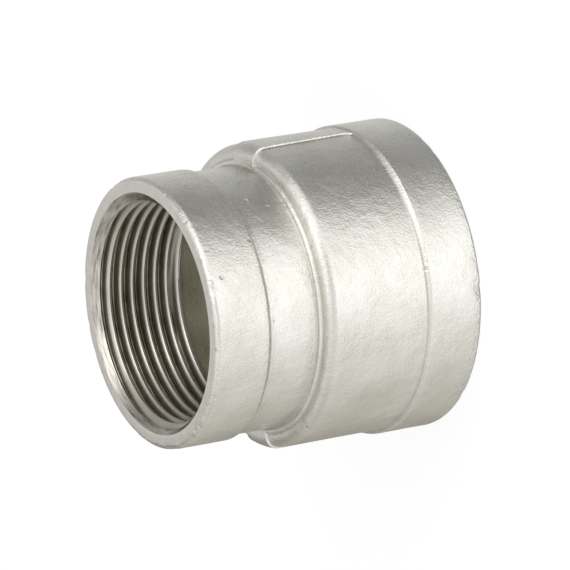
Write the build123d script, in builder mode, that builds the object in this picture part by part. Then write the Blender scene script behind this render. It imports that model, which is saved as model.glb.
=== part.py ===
# Reducing coupling for screwed pipe, 1 1/2 to 1 1/4, cast in one piece and machined at both ends.
# It stands on its large end. +Z runs along the bore to the small end, the origin lies in the
# middle of the large end's face, and the middles of the two recessed panels look along -Y and +Y.
# All sizes are in millimetres.
import os

from build123d import *

# Pipe threads, parallel, 11 turns to the inch. The bores are made at the thread's crest.
thread_pitch = 25.4 / 11
thread_depth = 0.640327 * thread_pitch
small_thread_major = 41.91
small_thread_length = 17.5
large_thread_major = 47.803
large_thread_length = 19.0
mouth_clearance = 0.4

# Waterway between the threads, left as cast. It narrows under the shoulder.
core_clearance = 0.25
core_taper_depth = 2.3

# Heights: the large collar and the shoulder from the large end's face, then what stands on them
large_collar_height = 10.1
shoulder_height = 30.8
neck_height = 9.3
small_collar_height = 10.2

# Outside of the casting
small_wall = 3.05
large_wall = 3.8
small_collar_step = 0.7
large_collar_step = 0.35
shoulder_root_radius = 0.45
shoulder_crown_radius = 2.4
collar_edge_radius = 0.3
collar_root_radius = 0.5
small_face_radius = 1.0
large_face_radius = 0.6

# Recessed panels and the two ribs that part them. Each rib widens towards the shoulder, and
# flares where it runs out into the collar.
panel_depth = 0.35
panel_shoulder_depth = 0.45
panel_shoulder_border = 1.0
rib_width_at_shoulder = 7.6
rib_width_at_collar = 5.2
rib_foot_radius = 2.4

# Radii that follow from the sizes above
small_crest_radius = small_thread_major / 2 - thread_depth
large_crest_radius = large_thread_major / 2 - thread_depth
small_mouth_radius = small_thread_major / 2 + mouth_clearance
large_mouth_radius = large_thread_major / 2 + mouth_clearance
small_core_radius = small_crest_radius + core_clearance
large_core_radius = large_crest_radius + core_clearance
small_collar_radius = small_thread_major / 2 + small_wall
large_collar_radius = large_thread_major / 2 + large_wall
neck_radius = small_collar_radius - small_collar_step
rib_radius = large_collar_radius - large_collar_step
panel_radius = rib_radius - panel_depth
panel_border_radius = neck_radius + panel_shoulder_border

# Heights that follow: each collar ends in a slope as long as it is high
small_collar_foot = shoulder_height + neck_height
overall_length = small_collar_foot + small_collar_step + small_collar_height
panel_foot = large_collar_height + large_collar_step + panel_depth
panel_shoulder_height = shoulder_height - panel_shoulder_depth
core_taper_top = shoulder_height - core_taper_depth
core_taper_bottom = core_taper_top - (large_core_radius - small_core_radius)


def corner(sketch, radius, height):
    return sketch.vertices().sort_by_distance((radius, height))[0]


# Panel recess: a ring outside the panels' surface, with the two ribs left standing in it
clear_radius = large_collar_radius + 5
with BuildPart() as panel_recess:
    with BuildSketch(Plane.XZ) as recess_section:
        with BuildLine():
            Polyline(
                (panel_border_radius, panel_shoulder_height),
                (panel_radius, panel_shoulder_height),
                (panel_radius, panel_foot),
                (large_collar_radius, large_collar_height),
                (clear_radius, large_collar_height),
                (clear_radius, overall_length),
                (panel_border_radius, overall_length),
                close=True,
            )
        make_face()
        fillet(
            corner(recess_section, panel_radius, panel_shoulder_height),
            radius=shoulder_crown_radius - panel_depth,
        )
    revolve(axis=Axis.Z)
    with BuildSketch(Plane.YZ) as ribs:
        with BuildLine():
            Polyline(
                (-clear_radius, 0),
                (clear_radius, 0),
                (clear_radius, large_collar_height),
                (rib_width_at_collar / 2, large_collar_height),
                (rib_width_at_shoulder / 2, shoulder_height),
                (rib_width_at_shoulder / 2, overall_length),
                (-rib_width_at_shoulder / 2, overall_length),
                (-rib_width_at_shoulder / 2, shoulder_height),
                (-rib_width_at_collar / 2, large_collar_height),
                (-clear_radius, large_collar_height),
                close=True,
            )
        make_face()
        fillet(
            [
                corner(ribs, -rib_width_at_collar / 2, large_collar_height),
                corner(ribs, rib_width_at_collar / 2, large_collar_height),
            ],
            radius=rib_foot_radius,
        )
    extrude(amount=clear_radius, both=True, mode=Mode.SUBTRACT)

# Outside of the casting, at the height of the ribs
with BuildPart() as coupling_body:
    with BuildSketch(Plane.XZ) as outside_section:
        with BuildLine():
            Polyline(
                (0, 0),
                (large_collar_radius, 0),
                (large_collar_radius, large_collar_height),
                (rib_radius, large_collar_height + large_collar_step),
                (rib_radius, shoulder_height),
                (neck_radius, shoulder_height),
                (neck_radius, small_collar_foot),
                (small_collar_radius, small_collar_foot + small_collar_step),
                (small_collar_radius, overall_length),
                (0, overall_length),
                close=True,
            )
        make_face()
        fillet(corner(outside_section, large_collar_radius, 0), radius=large_face_radius)
        fillet(
            corner(outside_section, large_collar_radius, large_collar_height),
            radius=collar_edge_radius,
        )
        fillet(corner(outside_section, rib_radius, shoulder_height), radius=shoulder_crown_radius)
        fillet(corner(outside_section, neck_radius, shoulder_height), radius=shoulder_root_radius)
        fillet(corner(outside_section, neck_radius, small_collar_foot), radius=collar_root_radius)
        fillet(
            corner(outside_section, small_collar_radius, small_collar_foot + small_collar_step),
            radius=collar_edge_radius,
        )
        fillet(
            corner(outside_section, small_collar_radius, overall_length),
            radius=small_face_radius,
        )
    revolve(axis=Axis.Z)
    add(panel_recess.part, mode=Mode.SUBTRACT)

    # Bore: mouth chamfers, both threads at their crests, and the tapered waterway between them
    with BuildSketch(Plane.XZ):
        with BuildLine():
            Polyline(
                (0, 0),
                (large_mouth_radius, 0),
                (large_crest_radius, large_mouth_radius - large_crest_radius),
                (large_crest_radius, large_thread_length),
                (large_core_radius, large_thread_length + core_clearance),
                (large_core_radius, core_taper_bottom),
                (small_core_radius, core_taper_top),
                (small_core_radius, overall_length - small_thread_length - core_clearance),
                (small_crest_radius, overall_length - small_thread_length),
                (small_crest_radius, overall_length - (small_mouth_radius - small_crest_radius)),
                (small_mouth_radius, overall_length),
                (0, overall_length),
                close=True,
            )
        make_face()
    revolve(axis=Axis.Z, mode=Mode.SUBTRACT)

coupling_body.part.label = "coupling_body"

os.makedirs("parts", exist_ok=True)
export_step(coupling_body.part, "parts/coupling_body.step")
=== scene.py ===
import math

import bmesh
import bpy
from mathutils import Matrix, Vector, geometry, noise


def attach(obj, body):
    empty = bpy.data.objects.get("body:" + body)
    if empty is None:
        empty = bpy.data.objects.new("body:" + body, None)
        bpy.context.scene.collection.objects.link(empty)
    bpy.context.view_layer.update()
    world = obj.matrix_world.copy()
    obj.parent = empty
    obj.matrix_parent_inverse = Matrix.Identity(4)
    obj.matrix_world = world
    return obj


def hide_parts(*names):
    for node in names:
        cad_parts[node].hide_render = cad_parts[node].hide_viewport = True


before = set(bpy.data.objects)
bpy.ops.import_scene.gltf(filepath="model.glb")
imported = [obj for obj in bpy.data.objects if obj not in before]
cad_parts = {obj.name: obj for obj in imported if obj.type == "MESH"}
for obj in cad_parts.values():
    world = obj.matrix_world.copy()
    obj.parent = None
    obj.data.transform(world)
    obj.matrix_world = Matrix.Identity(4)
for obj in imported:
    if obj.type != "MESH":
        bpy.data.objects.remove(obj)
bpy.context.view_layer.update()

# All sizes below are in millimetres, and a finished mesh is brought to metres at its end.
mm = 0.001

# Pipe threads, parallel, with the 55 degree form and rounded crests and roots. On the +X side a
# groove's root lies this deep below the small end's face, and the tap's lead rises over its length
# from just under the crest to the full depth.
thread_pitch = 25.4 / 11
thread_depth = 0.640327 * thread_pitch
thread_rounding = 0.137329 * thread_pitch
half_form_angle = 27.5
small_thread_major = 41.91
small_thread_length = 17.5
large_thread_major = 47.803
large_thread_length = 19.0
groove_depth_below_face = 2.45
tap_lead = 2.0
tap_lead_undercut = 0.1
land_clearance = 0.03
mouth_clearance = 0.4

# Waterway between the threads
core_clearance = 0.25
core_taper_depth = 2.3
core_taper_rounding = 1.5

# Heights, from the large end's face
large_collar_height = 10.1
shoulder_height = 30.8
neck_height = 9.3
small_collar_height = 10.2

# Outside of the casting
small_wall = 3.05
large_wall = 3.8
small_collar_step = 0.7
large_collar_step = 0.35
shoulder_root_radius = 0.45
shoulder_crown_radius = 2.4
collar_edge_radius = 0.3
collar_root_radius = 0.5
small_face_radius = 1.0
large_face_radius = 0.6

# Recessed panels and the ribs between them
panel_depth = 0.35
panel_shoulder_depth = 0.45
panel_shoulder_border = 1.0
rib_width_at_shoulder = 7.6
rib_width_at_collar = 5.2
rib_foot_radius = 2.4
rib_foot_flare = 1.2
panel_rim_width = 0.28
panel_border_rim_width = 0.5
panel_foot_drop = 0.06

# Waviness of the casting: long and short waves, set inwards to stay under the true outline, that
# fade out near a machined end
long_wave_height = 0.035
long_wave_length = 9
short_wave_height = 0.012
short_wave_length = 2.2
wave_inset = 0.02
wave_fade_length = 1.5

# Dents in the corners of the two machined ends. A dent starts where the noise passes the first
# level, and is at its deepest from the second.
dent_depth = 0.24
dent_length = 2.2
dent_reach = 1.5
dent_start_level = 0.25
dent_full_level = 0.6

# Sizes that follow
small_crest_radius = small_thread_major / 2 - thread_depth
large_crest_radius = large_thread_major / 2 - thread_depth
small_mouth_radius = small_thread_major / 2 + mouth_clearance
large_mouth_radius = large_thread_major / 2 + mouth_clearance
small_core_radius = small_crest_radius + core_clearance
large_core_radius = large_crest_radius + core_clearance
small_collar_radius = small_thread_major / 2 + small_wall
large_collar_radius = large_thread_major / 2 + large_wall
neck_radius = small_collar_radius - small_collar_step
rib_radius = large_collar_radius - large_collar_step
panel_border_radius = neck_radius + panel_shoulder_border
panel_border_start = panel_border_radius - panel_border_rim_width / 2
panel_border_end = panel_border_radius + panel_border_rim_width / 2
small_collar_foot = shoulder_height + neck_height
overall_length = small_collar_foot + small_collar_step + small_collar_height
rib_foot = large_collar_height + large_collar_step
core_taper_top = shoulder_height - core_taper_depth
core_taper_bottom = core_taper_top - (large_core_radius - small_core_radius)
small_thread_end = overall_length - small_thread_length

# The blank is left thicker inside than the crests, and every cutter reaches past what it cuts
bore_allowance = 3
overshoot = 1
blank_bore_radius = small_crest_radius - bore_allowance

# How finely the round shapes are cut
steps_round = 240
steps_per_turn = 120
half_rib_steps = 5
rim_steps = 12
panel_steps = 82

# Turns of the surface, in radians a millimetre, that count as an edge: from hardly to fully.
# Faces closer than the shortest span count as that far apart.
gentle_turn = 0.3
sharp_turn = 2.2
shortest_span = 0.03
crease_angle = math.radians(38)

# How close counts as the same height, the same point and the same plane
same_height = 0.01
same_point = 0.0005
same_plane = 0.0001

# Material slots of the casting, in order
SKIN, FACE, BEVEL, THREAD, CORE = range(5)


def clamp(value, low=0, high=1):
    return min(max(value, low), high)


def nearest_corner(bm, radius, height):
    return min(bm.verts, key=lambda v: (v.co - Vector((radius, 0, height))).length)


def nearest_edge(bm, radius, height):
    point = Vector((radius, 0, height))

    def distance(edge):
        a, b = (v.co for v in edge.verts)
        foot, share = geometry.intersect_point_line(point, a, b)
        foot = a.lerp(b, clamp(share))
        return (foot - point).length

    return min(bm.edges, key=distance)


def draw_outline(corners, closed=True):
    """An outline in the XZ plane, from its (radius, height) corners."""
    bm = bmesh.new()
    verts = [bm.verts.new((radius, 0, height)) for radius, height in corners]
    for a, b in zip(verts, verts[1:]):
        bm.edges.new((a, b))
    if closed:
        bm.edges.new((verts[-1], verts[0]))
    return bm


def round_corner(bm, radius, height, rounding, segments):
    corner = nearest_corner(bm, radius, height)
    arms = [edge.other_vert(corner).co - corner.co for edge in corner.link_edges]
    turn = math.pi - arms[0].angle(arms[1])
    bmesh.ops.bevel(
        bm,
        geom=[corner],
        offset=rounding * math.tan(turn / 2),
        offset_type="OFFSET",
        segments=segments,
        profile=0.5,
        affect="VERTICES",
        material=-1,
    )


def add_rows(bm, radius, height, cuts):
    bmesh.ops.subdivide_edges(bm, edges=[nearest_edge(bm, radius, height)], cuts=cuts)


def turn_round(bm, sectors):
    """Turns the outline about the bore's axis, through (angle, steps) sectors of a full circle."""
    ring = bm.verts[:] + bm.edges[:]
    for angle, steps in sectors:
        turned = bmesh.ops.spin(
            bm,
            geom=ring,
            cent=(0, 0, 0),
            axis=(0, 0, 1),
            angle=angle,
            steps=steps,
            use_merge=False,
        )
        ring = [part for part in turned["geom_last"] if not isinstance(part, bmesh.types.BMFace)]
    bmesh.ops.remove_doubles(bm, verts=bm.verts[:], dist=same_point)
    bmesh.ops.recalc_face_normals(bm, faces=bm.faces[:])


def mesh_object(name, bm):
    mesh = bpy.data.meshes.new(name)
    bm.to_mesh(mesh)
    bm.free()
    piece = bpy.data.objects.new(name, mesh)
    bpy.context.scene.collection.objects.link(piece)
    return piece


def smooth_step(low, high, value):
    share = clamp((value - low) / (high - low))
    return share * share * (3 - 2 * share)


def axis_distance(vert):
    return math.hypot(vert.co.x, vert.co.y)


def scale_radius(vert, factor):
    vert.co.x *= factor
    vert.co.y *= factor


def angle_from_rib(vert):
    """The angle about the bore's axis from the middle of the nearer rib to this point."""
    angle = math.atan2(vert.co.y, vert.co.x)
    return (angle + math.pi / 2) % math.pi - math.pi / 2


# Casting


def rib_half_width(height):
    """Half the width of a rib at this height, with the flare at its foot."""
    share = clamp((height - large_collar_height) / (shoulder_height - large_collar_height))
    width = rib_width_at_collar + share * (rib_width_at_shoulder - rib_width_at_collar)
    below = clamp(large_collar_height + rib_foot_radius - height, high=rib_foot_radius)
    flare = rib_foot_radius - math.sqrt(rib_foot_radius**2 - below**2)
    return width / 2 + min(flare, rib_foot_flare)


def rib_half_angle(height):
    return math.asin(rib_half_width(height) / rib_radius)


mean_rib_angle = rib_half_angle((large_collar_height + shoulder_height) / 2)
rim_angle = panel_rim_width / rib_radius


def turned_sectors():
    """Fine steps over the four rims beside the ribs, and even ones between."""
    half_rib = (mean_rib_angle - rim_angle, half_rib_steps)
    rim = (2 * rim_angle, rim_steps)
    panel = (math.pi - 2 * (mean_rib_angle + rim_angle), panel_steps)
    one_side = [half_rib, rim, panel, rim, half_rib]
    return one_side + one_side


def casting_outline():
    bm = draw_outline(
        [
            (blank_bore_radius, 0),
            (large_collar_radius, 0),
            (large_collar_radius, large_collar_height),
            (rib_radius, rib_foot),
            (rib_radius, large_collar_height + rib_foot_radius),
            (rib_radius, shoulder_height),
            (panel_border_end, shoulder_height),
            (panel_border_start, shoulder_height),
            (neck_radius, shoulder_height),
            (neck_radius, small_collar_foot),
            (small_collar_radius, small_collar_foot + small_collar_step),
            (small_collar_radius, overall_length),
            (blank_bore_radius, overall_length),
        ]
    )
    round_corner(bm, large_collar_radius, 0, large_face_radius, segments=4)
    round_corner(bm, large_collar_radius, large_collar_height, collar_edge_radius, segments=3)
    round_corner(bm, rib_radius, shoulder_height, shoulder_crown_radius, segments=12)
    round_corner(bm, neck_radius, shoulder_height, shoulder_root_radius, segments=4)
    round_corner(bm, neck_radius, small_collar_foot, collar_root_radius, segments=3)
    round_corner(
        bm,
        small_collar_radius,
        small_collar_foot + small_collar_step,
        collar_edge_radius,
        segments=3,
    )
    round_corner(bm, small_collar_radius, overall_length, small_face_radius, segments=6)
    collar_slope = (rib_radius + large_collar_radius) / 2, (rib_foot + large_collar_height) / 2
    add_rows(bm, large_collar_radius, large_collar_height / 2, cuts=7)
    add_rows(bm, *collar_slope, cuts=1)
    add_rows(bm, rib_radius, rib_foot + rib_foot_radius / 4, cuts=7)
    add_rows(bm, rib_radius, (rib_foot + shoulder_height) / 2, cuts=15)
    add_rows(bm, panel_border_radius, shoulder_height, cuts=5)
    add_rows(bm, neck_radius, shoulder_height + neck_height / 2, cuts=8)
    add_rows(bm, small_collar_radius, overall_length - small_collar_height / 2, cuts=8)
    return bm


def line_up_columns(bm):
    """Turns the columns of points a little, so that they run along the ribs' edges."""
    for vert in bm.verts:
        from_rib = angle_from_rib(vert)
        shift = rib_half_angle(min(vert.co.z, shoulder_height)) - mean_rib_angle
        if abs(from_rib) < mean_rib_angle:
            share = from_rib / mean_rib_angle
        else:
            past_edge = (abs(from_rib) - mean_rib_angle) / (math.pi / 2 - mean_rib_angle)
            share = math.copysign(1 - past_edge, from_rib)
        vert.co.rotate(Matrix.Rotation(shift * share, 3, "Z"))


def sink_panels(bm):
    """Sets the two panels back from the ribs, over the shoulder's crown as far as its border."""
    crown_centre = Vector(
        (rib_radius - shoulder_crown_radius, shoulder_height - shoulder_crown_radius)
    )
    for vert in bm.verts:
        radius = axis_distance(vert)
        height = vert.co.z
        in_reach = large_collar_height <= height <= shoulder_height + same_height
        if radius < panel_border_start or not in_reach:
            continue
        off_edge = (abs(angle_from_rib(vert)) - rib_half_angle(height)) * rib_radius
        mask = smooth_step(-panel_rim_width / 2, panel_rim_width / 2, off_edge)
        mask *= smooth_step(panel_border_start, panel_border_end, radius)
        mask *= clamp((height - rib_foot + panel_foot_drop) / panel_depth)
        outwards = Vector((radius, height)) - crown_centre
        outwards.x = max(outwards.x, 0)
        outwards.y = max(outwards.y, 0)
        outwards.normalize()
        scale_radius(vert, (radius - mask * panel_depth * outwards.x) / radius)
        vert.co.z -= mask * panel_shoulder_depth * outwards.y


def soften_as_cast(bm):
    """The slight waviness of a casting, left off the machined ends."""
    for vert in bm.verts:
        radius = axis_distance(vert)
        if radius < small_crest_radius:
            continue
        kept = smooth_step(0, wave_fade_length, vert.co.z)
        kept *= smooth_step(0, wave_fade_length, overall_length - vert.co.z)
        waves = long_wave_height * noise.noise(vert.co / long_wave_length)
        waves += short_wave_height * noise.noise(vert.co / short_wave_length)
        waves -= wave_inset
        scale_radius(vert, 1 + kept * waves / radius)


def distance_to_end(point):
    return min(point.z, overall_length - point.z)


def nearness_to_end(vert):
    """1 close to a machined end, falling to 0 where the dents stop."""
    return 1 - smooth_step(dent_reach / 3, dent_reach, distance_to_end(vert.co))


def dent_corners(bm):
    """Small dents round the corner of each machined end, as handling leaves them."""
    for vert in bm.verts:
        radius = axis_distance(vert)
        collar_radius = small_collar_radius if vert.co.z > shoulder_height else large_collar_radius
        if radius < collar_radius - dent_reach:
            continue
        noisy = noise.noise(vert.co / dent_length)
        dent = dent_depth * smooth_step(dent_start_level, dent_full_level, noisy)
        scale_radius(vert, 1 - dent * nearness_to_end(vert) / radius)


def turned_casting():
    bm = casting_outline()
    turn_round(bm, turned_sectors())
    line_up_columns(bm)
    sink_panels(bm)
    soften_as_cast(bm)
    dent_corners(bm)
    bmesh.ops.recalc_face_normals(bm, faces=bm.faces[:])
    for face in bm.faces:
        machined = distance_to_end(face.calc_center_median()) < same_height
        face.material_index = FACE if machined else SKIN
        face.smooth = True
    return mesh_object("coupling_casting", bm)


# Cutters for the bore


def bore_cutter():
    """The waterway with the bored lands of both threads."""
    large_land = large_crest_radius + land_clearance
    small_land = small_crest_radius + land_clearance
    bm = draw_outline(
        [
            (0, -overshoot),
            (large_land, -overshoot),
            (large_land, large_thread_length),
            (large_core_radius, large_thread_length + core_clearance),
            (large_core_radius, core_taper_bottom),
            (small_core_radius, core_taper_top),
            (small_core_radius, small_thread_end - core_clearance),
            (small_land, small_thread_end),
            (small_land, overall_length + overshoot),
            (0, overall_length + overshoot),
        ],
        closed=False,
    )
    round_corner(bm, large_core_radius, core_taper_bottom, core_taper_rounding, segments=3)
    round_corner(bm, small_core_radius, core_taper_top, core_taper_rounding, segments=3)
    turn_round(bm, [(math.tau, steps_round)])
    for face in bm.faces:
        height = face.calc_center_median().z
        cast = large_thread_length < height < small_thread_end
        face.material_index = CORE if cast else THREAD
        face.smooth = True
    return mesh_object("bore_cutter", bm)


def arc(radius, height, rounding, start, end, segments):
    """Points on an arc in the XZ plane, about (radius, height), from start to end in degrees."""
    points = []
    for i in range(segments + 1):
        turn = math.radians(start + (end - start) * i / segments)
        points.append((radius + rounding * math.cos(turn), height + rounding * math.sin(turn)))
    return points


def thread_outline(crest_radius):
    """One pitch of a thread's profile, with a root at height 0 and a crest half a pitch above."""
    major_radius = crest_radius + thread_depth
    middle_radius = crest_radius + thread_depth / 2
    root_centre = major_radius - thread_rounding, 0
    crest_centre = crest_radius + thread_rounding, thread_pitch / 2
    root = arc(
        *root_centre,
        thread_rounding,
        start=half_form_angle - 90,
        end=90 - half_form_angle,
        segments=5,
    )
    crest = arc(
        *crest_centre,
        thread_rounding,
        start=270 - half_form_angle,
        end=90 + half_form_angle,
        segments=3,
    )
    lower_flank = middle_radius, -thread_pitch / 4
    upper_flank = middle_radius, 3 * thread_pitch / 4
    return draw_outline([lower_flank, *root, *crest, upper_flank], closed=False)


def thread_tap(name, crest_radius, low, high, lead_end):
    """A tap from low to high. It narrows towards lead_end, so that the thread runs out there."""
    bm = thread_outline(crest_radius)
    spare_turns = 3
    turns = math.ceil((high - low) / thread_pitch) + spare_turns
    first_root = overall_length - groove_depth_below_face
    pitches_up = math.floor((low - first_root) / thread_pitch) - 1
    start = first_root + pitches_up * thread_pitch
    bmesh.ops.translate(bm, vec=(0, 0, start), verts=bm.verts[:])
    bmesh.ops.spin(
        bm,
        geom=bm.verts[:] + bm.edges[:],
        cent=(0, 0, 0),
        axis=(0, 0, 1),
        dvec=(0, 0, thread_pitch / steps_per_turn),
        angle=math.tau,
        steps=steps_per_turn,
        use_merge=False,
    )
    one_turn = bm.verts[:] + bm.edges[:] + bm.faces[:]
    for turn in range(1, turns):
        copied = bmesh.ops.duplicate(bm, geom=one_turn)["geom"]
        copied_verts = [part for part in copied if isinstance(part, bmesh.types.BMVert)]
        bmesh.ops.translate(bm, vec=(0, 0, turn * thread_pitch), verts=copied_verts)
    bmesh.ops.remove_doubles(bm, verts=bm.verts[:], dist=same_point)
    middle = (low + high) / 2
    for vert in bm.verts:
        from_end = (vert.co.z - lead_end) * math.copysign(1, middle - lead_end)
        lead_radius = crest_radius - tap_lead_undercut
        lead_radius += (thread_depth + tap_lead_undercut) * max(from_end, 0) / tap_lead
        if axis_distance(vert) > lead_radius:
            scale_radius(vert, lead_radius / axis_distance(vert))
    for height, side in ((low, -1), (high, 1)):
        cut = bmesh.ops.bisect_plane(
            bm,
            geom=bm.verts[:] + bm.edges[:] + bm.faces[:],
            dist=same_plane,
            plane_co=(0, 0, height),
            plane_no=(0, 0, side),
            clear_outer=True,
        )
        rim = [part for part in cut["geom_cut"] if isinstance(part, bmesh.types.BMEdge)]
        bmesh.ops.holes_fill(bm, edges=rim, sides=0)
    bmesh.ops.recalc_face_normals(bm, faces=bm.faces[:])
    for face in bm.faces:
        face.material_index = THREAD
        face.smooth = True
    return mesh_object(name, bm)


def mouth_cutter(name, mouth_radius, face_height, inwards):
    """The 45 degree cone that opens the bore at one end. It points along inwards, 1 or -1."""
    cone_depth = 3
    bm = bmesh.new()
    bmesh.ops.create_cone(
        bm,
        cap_ends=True,
        segments=steps_round,
        radius1=mouth_radius - cone_depth,
        radius2=mouth_radius + overshoot,
        depth=cone_depth + overshoot,
    )
    bmesh.ops.translate(bm, vec=(0, 0, (overshoot - cone_depth) / 2), verts=bm.verts[:])
    if inwards > 0:
        bmesh.ops.scale(bm, vec=(1, 1, -1), verts=bm.verts[:])
    bmesh.ops.translate(bm, vec=(0, 0, face_height), verts=bm.verts[:])
    bmesh.ops.recalc_face_normals(bm, faces=bm.faces[:])
    for face in bm.faces:
        face.material_index = BEVEL
        face.smooth = True
    return mesh_object(name, bm)


def cut_away(piece, cutters):
    for cutter in cutters:
        cut = piece.modifiers.new(cutter.name, "BOOLEAN")
        cut.object = cutter
        cut.operation = "DIFFERENCE"
        cut.solver = "MANIFOLD"
        cut.material_mode = "INDEX"
    evaluated = piece.evaluated_get(bpy.context.evaluated_depsgraph_get())
    shaped = bpy.data.meshes.new_from_object(evaluated)
    piece.modifiers.clear()
    piece.data = shaped
    for cutter in cutters:
        bpy.data.objects.remove(cutter)


def mark_edges(bm):
    """Notes at each point how sharply the surface turns, outwards or inwards, how deep in a groove
    it lies, and how near a machined end."""
    outwards = bm.verts.layers.float.new("edge")
    inwards = bm.verts.layers.float.new("corner")
    groove = bm.verts.layers.float.new("groove")
    rim = bm.verts.layers.float.new("rim")
    for vert in bm.verts:
        vert[rim] = nearness_to_end(vert)
        crest_radius = small_crest_radius if vert.co.z > core_taper_top else large_crest_radius
        vert[groove] = clamp((axis_distance(vert) - crest_radius) / thread_depth)
    for edge in bm.edges:
        one, other = edge.link_faces
        apart = (one.calc_center_median() - other.calc_center_median()).length
        turn = edge.calc_face_angle_signed(0) / max(apart, shortest_span)
        sharpness = clamp((abs(turn) - gentle_turn) / (sharp_turn - gentle_turn))
        layer = outwards if turn > 0 else inwards
        for vert in edge.verts:
            vert[layer] = max(vert[layer], sharpness)


def finish_mesh(piece):
    """Closes the cut mesh, marks its edges and brings it from millimetres to metres."""
    bm = bmesh.new()
    bm.from_mesh(piece.data)
    bmesh.ops.remove_doubles(bm, verts=bm.verts[:], dist=same_point)
    bmesh.ops.dissolve_degenerate(bm, edges=bm.edges[:], dist=same_point)
    mark_edges(bm)
    bmesh.ops.scale(bm, vec=(mm, mm, mm), verts=bm.verts[:])
    bm.to_mesh(piece.data)
    bm.free()
    piece.data.set_sharp_from_angle(angle=crease_angle)


# Materials


def new_material(name):
    material = bpy.data.materials.new(name)
    material.use_nodes = True
    tree = material.node_tree
    shader = tree.nodes["Principled BSDF"]
    return material, tree, shader


def new_group(name, inputs, outputs):
    group = bpy.data.node_groups.new(name, "ShaderNodeTree")
    for label, value in inputs:
        socket = group.interface.new_socket(label, in_out="INPUT", socket_type="NodeSocketFloat")
        socket.default_value = value
    for label in outputs:
        group.interface.new_socket(label, in_out="OUTPUT", socket_type="NodeSocketFloat")
    return group, group.nodes.new("NodeGroupInput"), group.nodes.new("NodeGroupOutput")


def math_node(tree, operation, first, second=0.0):
    node = tree.nodes.new("ShaderNodeMath")
    node.operation = operation
    for socket, value in zip(node.inputs, (first, second)):
        if isinstance(value, (int, float)):
            socket.default_value = value
        else:
            tree.links.new(value, socket)
    return node.outputs[0]


def noise_node(tree, place, size, detail=2.0, roughness=0.5):
    """Noise with features of about this size, in millimetres."""
    node = tree.nodes.new("ShaderNodeTexNoise")
    node.inputs["Scale"].default_value = 1 / (size * mm)
    node.inputs["Detail"].default_value = detail
    node.inputs["Roughness"].default_value = roughness
    tree.links.new(place, node.inputs["Vector"])
    return node.outputs["Fac"]


def ramp_node(tree, value, stops):
    node = tree.nodes.new("ShaderNodeValToRGB")
    ramp = node.color_ramp
    while len(ramp.elements) < len(stops):
        ramp.elements.new(1.0)
    for element, (position, colour) in zip(ramp.elements, stops):
        element.position = position
        element.color = (*colour, 1)
    tree.links.new(value, node.inputs["Fac"])
    return node.outputs["Color"]


def set_range(tree, value, low, high, start=0.0, end=1.0):
    """Low where the value is at start or under it, high where it is at end or over it."""
    node = tree.nodes.new("ShaderNodeMapRange")
    node.inputs["From Min"].default_value = start
    node.inputs["From Max"].default_value = end
    node.inputs["To Min"].default_value = low
    node.inputs["To Max"].default_value = high
    tree.links.new(value, node.inputs["Value"])
    return node.outputs["Result"]


def mix_colours(tree, share, first, second):
    """The first colour where the share is 0, the second where it is 1, each plain or a socket."""
    mix = tree.nodes.new("ShaderNodeMix")
    mix.data_type = "RGBA"
    sockets = mix.inputs["Factor"], mix.inputs["A"], mix.inputs["B"]
    for socket, value in zip(sockets, (share, first, second)):
        if isinstance(value, tuple):
            socket.default_value = value
        else:
            tree.links.new(value, socket)
    return mix.outputs["Result"]


def mix_shaders(tree, share, first, second):
    mix = tree.nodes.new("ShaderNodeMixShader")
    for socket, value in zip(mix.inputs, (share, first, second)):
        tree.links.new(value, socket)
    return mix.outputs[0]


def object_place(tree):
    return tree.nodes.new("ShaderNodeTexCoord").outputs["Object"]


def attribute_node(tree, name):
    node = tree.nodes.new("ShaderNodeAttribute")
    node.attribute_name = name
    return node.outputs["Fac"]


def blasted_grain():
    """Fine pits of blasting over slow waves, and a pock here and there. Height goes to a bump, Shade
    is for colour and roughness."""
    inputs = [("Pits", 1.0), ("Waves", 0.5)]
    group, given, result = new_group("blasted_grain", inputs, ["Height", "Shade"])
    place = object_place(group)
    pits = noise_node(group, place, 0.38, detail=3.0, roughness=0.65)
    waves = noise_node(group, place, 2.2, detail=3.0)
    clouds = noise_node(group, place, 9.0, detail=3.0)
    height = math_node(
        group,
        "ADD",
        math_node(group, "MULTIPLY", pits, given.outputs["Pits"]),
        math_node(group, "MULTIPLY", waves, given.outputs["Waves"]),
    )
    pock_spacing = 6.5
    cells = group.nodes.new("ShaderNodeTexVoronoi")
    cells.inputs["Scale"].default_value = 1 / (pock_spacing * mm)
    group.links.new(place, cells.inputs["Vector"])
    pocks = set_range(group, cells.outputs["Distance"], 1, 0, start=0.03, end=0.085)
    group.links.new(math_node(group, "SUBTRACT", height, pocks), result.inputs["Height"])
    shade = math_node(
        group,
        "ADD",
        math_node(group, "MULTIPLY", clouds, 0.8),
        math_node(group, "MULTIPLY", pits, 0.2),
    )
    # Each pock is also a little darker, a painted shade in the pit.
    shade = math_node(group, "SUBTRACT", shade, math_node(group, "MULTIPLY", pocks, 0.2))
    group.links.new(shade, result.inputs["Shade"])
    return group


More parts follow.
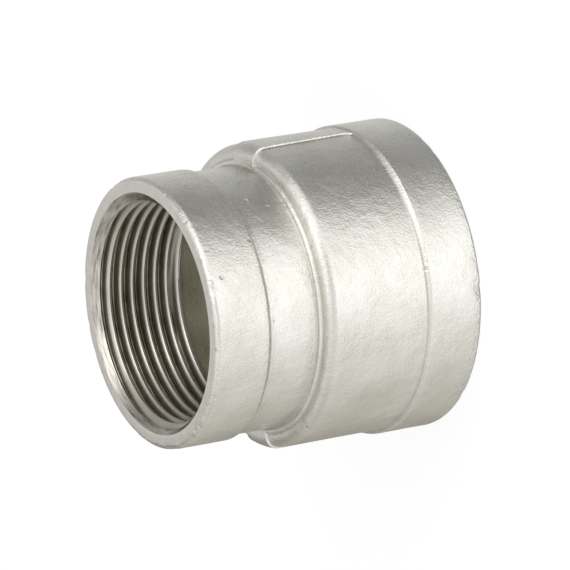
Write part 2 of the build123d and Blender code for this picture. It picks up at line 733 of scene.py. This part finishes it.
def edge_marks():
    """Masks for edges worn bright, concave corners darkened as painted shade, and nicks near the
    machined ends, all broken up by noise."""
    outputs = ["Worn", "CornerShade", "Nicks"]
    group, given, result = new_group("edge_marks", [("Breakup", 0.5)], outputs)
    place = object_place(group)
    patches = noise_node(group, place, 1.1, detail=4.0, roughness=0.6)
    off_middle = math_node(group, "SUBTRACT", patches, 0.5)
    spread = math_node(group, "MULTIPLY", off_middle, given.outputs["Breakup"])
    # The second mask is for concave corners, which the skin darkens as painted shade.
    for attribute, mask in (("edge", "Worn"), ("corner", "CornerShade")):
        mark = attribute_node(group, attribute)
        uneven = math_node(group, "ADD", mark, math_node(group, "MULTIPLY", spread, mark))
        group.links.new(set_range(group, uneven, 0, 1, start=0.1, end=0.8), result.inputs[mask])
    nicks = set_range(group, noise_node(group, place, 1.8), 0, 1, start=0.58, end=0.78)
    nicks = math_node(group, "MULTIPLY", nicks, attribute_node(group, "rim"))
    group.links.new(nicks, result.inputs["Nicks"])
    return group


def place_group(tree, group, **values):
    node = tree.nodes.new("ShaderNodeGroup")
    node.node_tree = group
    for label, value in values.items():
        node.inputs[label].default_value = value
    return node


def add_bump(tree, shader, height, depth):
    """Raises the surface by this depth, in millimetres, for each unit of height."""
    bump = tree.nodes.new("ShaderNodeBump")
    bump.inputs["Strength"].default_value = 1.0
    bump.inputs["Distance"].default_value = depth * mm
    tree.links.new(height, bump.inputs["Height"])
    tree.links.new(bump.outputs["Normal"], shader.inputs["Normal"])


def tint(tree, colour, mask, share, target):
    """Shifts a colour by this share towards the target where the mask is."""
    return mix_colours(tree, math_node(tree, "MULTIPLY", mask, share), colour, (*target, 1))


def steel_material(name):
    material, tree, shader = new_material(name)
    shader.inputs["Metallic"].default_value = 1.0
    return material, tree, shader


def smooth_where(tree, roughness, mask, drop):
    """Takes this much off the roughness where the mask is."""
    return math_node(tree, "SUBTRACT", roughness, math_node(tree, "MULTIPLY", mask, drop))


def blasted_skin(grain, marks):
    """The cast outside: a silver skin, brighter on its edges, with painted shade, browned, in its
    corners.
    """
    material, tree, shader = steel_material("blasted_skin")
    skin = place_group(tree, grain, Pits=1.0, Waves=1.4)
    edges = place_group(tree, marks, Breakup=0.9)
    stops = [(0.32, (0.64, 0.63, 0.575)), (0.68, (0.78, 0.77, 0.725))]
    colour = ramp_node(tree, skin.outputs["Shade"], stops)
    # Painted shade: the concave corners are darker and browner.
    colour = tint(tree, colour, edges.outputs["CornerShade"], 0.35, (0.42, 0.35, 0.28))
    colour = tint(tree, colour, edges.outputs["Worn"], 0.45, (0.88, 0.865, 0.835))
    tree.links.new(colour, shader.inputs["Base Color"])
    roughness = set_range(tree, skin.outputs["Shade"], 0.2, 0.34)
    roughness = smooth_where(tree, roughness, edges.outputs["Worn"], 0.08)
    tree.links.new(roughness, shader.inputs["Roughness"])
    nicks = math_node(tree, "MULTIPLY", edges.outputs["Nicks"], 1.2)
    height = math_node(tree, "SUBTRACT", skin.outputs["Height"], nicks)
    add_bump(tree, shader, height, depth=0.1)
    return material


def ring_place(tree, stretch):
    """Coordinates that draw a texture out this many times about the bore's axis."""
    split = tree.nodes.new("ShaderNodeSeparateXYZ")
    tree.links.new(object_place(tree), split.inputs[0])
    across, along, height = split.outputs
    squares = [math_node(tree, "MULTIPLY", part, part) for part in (across, along)]
    radius = math_node(tree, "SQRT", math_node(tree, "ADD", *squares))
    rings = math_node(tree, "ADD", radius, math_node(tree, "DIVIDE", height, 2))
    joined = tree.nodes.new("ShaderNodeCombineXYZ")
    tree.links.new(math_node(tree, "DIVIDE", across, stretch), joined.inputs["X"])
    tree.links.new(math_node(tree, "DIVIDE", along, stretch), joined.inputs["Y"])
    tree.links.new(rings, joined.inputs["Z"])
    return joined.outputs["Vector"]


def turning_marks(tree, spacing):
    """Fine rings about the bore's axis, as a lathe leaves them."""
    return noise_node(tree, ring_place(tree, stretch=50), spacing)


def turned_face(marks):
    """The flat rings of the two ends, with fine turning marks and smears."""
    material, tree, shader = steel_material("turned_face")
    place = object_place(tree)
    smears = noise_node(tree, place, 1.6, detail=4.0, roughness=0.65)
    edges = place_group(tree, marks, Breakup=0.9)
    rings = turning_marks(tree, 0.22)
    colour = ramp_node(tree, smears, [(0.3, (0.64, 0.615, 0.56)), (0.7, (0.73, 0.71, 0.665))])
    colour = tint(tree, colour, edges.outputs["Worn"], 0.8, (0.88, 0.87, 0.85))
    tree.links.new(colour, shader.inputs["Base Color"])
    tree.links.new(set_range(tree, smears, 0.22, 0.38), shader.inputs["Roughness"])
    add_bump(tree, shader, math_node(tree, "ADD", rings, smears), depth=0.02)
    return material


def turned_bevel():
    """The chamfers of the two mouths, with bright and dark streaks round them."""
    material, tree, shader = steel_material("turned_bevel")
    smears = noise_node(tree, ring_place(tree, stretch=9), 0.45, detail=3.0, roughness=0.6)
    rings = turning_marks(tree, 0.16)
    stops = [
        (0.3, (0.15, 0.135, 0.115)),
        (0.4, (0.38, 0.355, 0.315)),
        (0.52, (0.52, 0.495, 0.45)),
        (0.68, (0.66, 0.645, 0.605)),
    ]
    colour = ramp_node(tree, smears, stops)
    tree.links.new(colour, shader.inputs["Base Color"])
    tree.links.new(set_range(tree, smears, 0.18, 0.32), shader.inputs["Roughness"])
    add_bump(tree, shader, rings, depth=0.012)
    return material


def cut_thread(marks):
    """Bright at the crests, and darker towards the roots: painted shade in the grooves, with
    patches of cutting oil.
    """
    material, tree, shader = steel_material("cut_thread")
    place = object_place(tree)
    smears = noise_node(tree, place, 5.0, detail=3.0)
    edges = place_group(tree, marks, Breakup=0.3)
    # Painted shade: the colour darkens with depth in the groove, and noise adds patches of oil.
    depth_share = math_node(tree, "MULTIPLY", attribute_node(tree, "groove"), 0.75)
    patches = set_range(tree, smears, 0, 0.25, start=0.38, end=0.62)
    oil_and_root_shade = math_node(tree, "ADD", depth_share, patches)
    stops = [
        (0.0, (0.58, 0.56, 0.51)),
        (0.3, (0.52, 0.495, 0.435)),
        (0.6, (0.44, 0.41, 0.34)),
        (0.8, (0.34, 0.305, 0.235)),
        (1.0, (0.15, 0.125, 0.085)),
    ]
    colour = ramp_node(tree, oil_and_root_shade, stops)
    colour = tint(tree, colour, edges.outputs["Worn"], 0.5, (0.66, 0.645, 0.61))
    tree.links.new(colour, shader.inputs["Base Color"])
    tree.links.new(set_range(tree, smears, 0.24, 0.38), shader.inputs["Roughness"])
    add_bump(tree, shader, turning_marks(tree, 0.2), depth=0.008)
    return material


def cast_waterway(grain):
    """The cast wall between the threads, rough and dull, with some cutting oil on it."""
    material, tree, shader = steel_material("cast_waterway")
    skin = place_group(tree, grain, Pits=1.0, Waves=1.5)
    stops = [(0.3, (0.32, 0.295, 0.215)), (0.66, (0.58, 0.545, 0.43))]
    colour = ramp_node(tree, skin.outputs["Shade"], stops)
    tree.links.new(colour, shader.inputs["Base Color"])
    tree.links.new(set_range(tree, skin.outputs["Shade"], 0.5, 0.62), shader.inputs["Roughness"])
    add_bump(tree, shader, skin.outputs["Height"], depth=0.15)
    return material


# Studio, floor, lamp and camera


# What the steel mirrors, as (bearing in degrees from +X, light, warmth). From below, a wide soft
# light stands on the camera's side, at -76 degrees, the studio is dark to the right of it, and a
# narrow dark and warm strip stands behind. From above, the camera's side is dim, between two
# lights, and the same strip is narrower and darker.
light_from_below = [
    (-180, 0.69, 0.08),
    (-136, 0.97, 0.03),
    (-116, 1.2, 0),
    (-96, 1.45, 0),
    (-76, 1.64, 0),
    (-56, 1.65, 0),
    (-41, 1.36, 0),
    (-28, 0.74, 0),
    (-16, 0.38, 0),
    (-4, 0.25, 0),
    (10, 0.245, 0),
    (24, 0.35, 0),
    (44, 0.54, 0),
    (64, 0.7, 0),
    (84, 0.76, 0.02),
    (96, 0.66, 0.05),
    (108, 0.3, 0.12),
    (124, 0.33, 0.14),
    (144, 0.57, 0.12),
    (180, 0.69, 0.08),
]
light_from_above = [
    (-180, 0.55, 0.04),
    (-150, 0.75, 0),
    (-120, 1.05, 0),
    (-100, 0.95, 0),
    (-76, 0.5, 0),
    (-52, 1.05, 0),
    (-30, 1.65, 0),
    (-12, 1.55, 0),
    (8, 0.65, 0),
    (28, 0.34, 0),
    (60, 0.44, 0),
    (88, 0.7, 0),
    (104, 0.74, 0),
    (116, 0.46, 0.05),
    (126, 0.22, 0.1),
    (138, 0.4, 0.08),
    (150, 0.62, 0.06),
    (180, 0.55, 0.04),
]
light_overhead = 1.1
light_underneath = 0.4
brightest = 1.65


def light_ramp(tree, around, stops):
    """The light round the studio, as a share of the brightest. Warmth takes out blue, and a quarter
    as much green."""
    shares = []
    for bearing, light, warmth in stops:
        share = light / brightest
        colour = (share, share * (1 - warmth / 4), share * (1 - warmth))
        shares.append((bearing / 360 + 0.5, colour))
    return ramp_node(tree, around, shares)


def grey(level):
    return (level, level, level, 1)


def studio_glow(tree):
    """The studio's light by direction, as a share of the brightest."""
    direction = tree.nodes.new("ShaderNodeTexCoord").outputs["Generated"]
    around = tree.nodes.new("ShaderNodeTexGradient")
    around.gradient_type = "RADIAL"
    tree.links.new(direction, around.inputs["Vector"])
    split = tree.nodes.new("ShaderNodeSeparateXYZ")
    tree.links.new(direction, split.inputs[0])
    rise = split.outputs["Z"]
    below = light_ramp(tree, around.outputs["Fac"], light_from_below)
    above = light_ramp(tree, around.outputs["Fac"], light_from_above)
    glow = mix_colours(tree, set_range(tree, rise, 0, 1, start=-0.3, end=0.25), below, above)
    overhead = grey(light_overhead / brightest)
    glow = mix_colours(tree, set_range(tree, rise, 0, 1, start=0.55, end=0.95), glow, overhead)
    underneath = grey(light_underneath / brightest)
    return mix_colours(tree, set_range(tree, rise, 1, 0, start=-0.92, end=-0.6), glow, underneath)


def ray_mask(tree, first, second):
    """1 for rays of these two kinds, 0 for all others."""
    path = tree.nodes.new("ShaderNodeLightPath")
    kinds = [path.outputs[f"Is {kind} Ray"] for kind in (first, second)]
    return math_node(tree, "MAXIMUM", *kinds)


def studio_world():
    """White for the camera and through glass. The steel mirrors the studio."""
    world = bpy.data.worlds.new("studio")
    world.use_nodes = True
    tree = world.node_tree
    studio = tree.nodes["Background"]
    studio.inputs["Strength"].default_value = brightest
    tree.links.new(studio_glow(tree), studio.inputs["Color"])
    white = tree.nodes.new("ShaderNodeBackground")
    seen = ray_mask(tree, "Camera", "Transmission")
    mixed = mix_shaders(tree, seen, studio.outputs[0], white.outputs[0])
    tree.links.new(mixed, tree.nodes["World Output"].inputs["Surface"])
    bpy.context.scene.world = world


def pale_floor():
    """A pale floor that keeps the shadow. The steel mirrors the studio through it, not the floor."""
    floor_radius = 4.0
    white_level = 1.07
    white_share = 0.8
    bm = bmesh.new()
    bmesh.ops.create_circle(bm, cap_ends=True, segments=96, radius=floor_radius)
    floor = mesh_object("floor", bm)
    material, tree, shader = new_material("pale_floor")
    shader.inputs["Base Color"].default_value = (0.82, 0.82, 0.82, 1)
    shader.inputs["Roughness"].default_value = 0.9
    white = tree.nodes.new("ShaderNodeEmission")
    white.inputs["Strength"].default_value = white_level
    clear = tree.nodes.new("ShaderNodeBsdfTransparent")
    seen = ray_mask(tree, "Camera", "Transmission")
    whitened = math_node(tree, "MULTIPLY", seen, white_share)
    paled = mix_shaders(tree, whitened, shader.outputs[0], white.outputs[0])
    passed = ray_mask(tree, "Glossy", "Shadow")
    mixed = mix_shaders(tree, passed, paled, clear.outputs[0])
    tree.links.new(mixed, tree.nodes["Material Output"].inputs["Surface"])
    floor.data.materials.append(material)


# One soft square lamp, high on the +X side, which is the upper side of the picture. Its values
# are in metres and watts.
lamp_place = Vector((0.47, -0.22, 0.86))
lamp_aim = Vector((0, 0, 0.03))
lamp_size = 0.6
lamp_power = 1.0


def soft_lamp():
    data = bpy.data.lights.new("overhead", "AREA")
    data.shape = "SQUARE"
    data.size = lamp_size
    data.energy = lamp_power
    lamp = bpy.data.objects.new("overhead", data)
    lamp.location = lamp_place
    lamp.rotation_euler = (lamp_aim - lamp_place).to_track_quat("-Z", "Y").to_euler()
    bpy.context.scene.collection.objects.link(lamp)


# The camera's place, its axes and its lens, as fitted to the photograph
camera_place = Vector((202.5, -812.3, 490.0)) * mm
camera_right = Vector((-0.045724, -0.506012, -0.861314))
camera_up = Vector((0.976586, 0.158797, -0.145134))
camera_back = Vector((0.210213, -0.847783, 0.486903))
focal_length = 343.4
sensor_width = 36


def photo_camera():
    """The camera of the photograph: far off, with a long lens, and turned on its side."""
    data = bpy.data.cameras.new("photo_camera")
    data.sensor_width = sensor_width
    data.lens = focal_length
    data.clip_start = 0.01
    camera = bpy.data.objects.new("photo_camera", data)
    axes = Matrix((camera_right, camera_up, camera_back)).transposed()
    camera.matrix_world = axes.to_4x4()
    camera.location = camera_place
    bpy.context.scene.collection.objects.link(camera)
    bpy.context.scene.camera = camera


# The coupling
casting = turned_casting()
grain = blasted_grain()
marks = edge_marks()
casting_materials = [
    blasted_skin(grain, marks),
    turned_face(marks),
    turned_bevel(),
    cut_thread(marks),
    cast_waterway(grain),
]
for material in casting_materials:
    casting.data.materials.append(material)

cutters = [
    bore_cutter(),
    thread_tap(
        "small_tap",
        small_crest_radius,
        low=small_thread_end - overshoot,
        high=overall_length + overshoot,
        lead_end=small_thread_end,
    ),
    thread_tap(
        "large_tap",
        large_crest_radius,
        low=-overshoot,
        high=large_thread_length + overshoot,
        lead_end=large_thread_length,
    ),
    mouth_cutter("small_mouth", small_mouth_radius, overall_length, inwards=-1),
    mouth_cutter("large_mouth", large_mouth_radius, 0, inwards=1),
]
for cutter in cutters:
    for material in casting.data.materials:
        cutter.data.materials.append(material)
cut_away(casting, cutters)
finish_mesh(casting)
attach(casting, "root")
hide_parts("coupling_body")

# The studio
pale_floor()
studio_world()
photo_camera()
soft_lamp()
bpy.context.scene.view_settings.view_transform = "Standard"
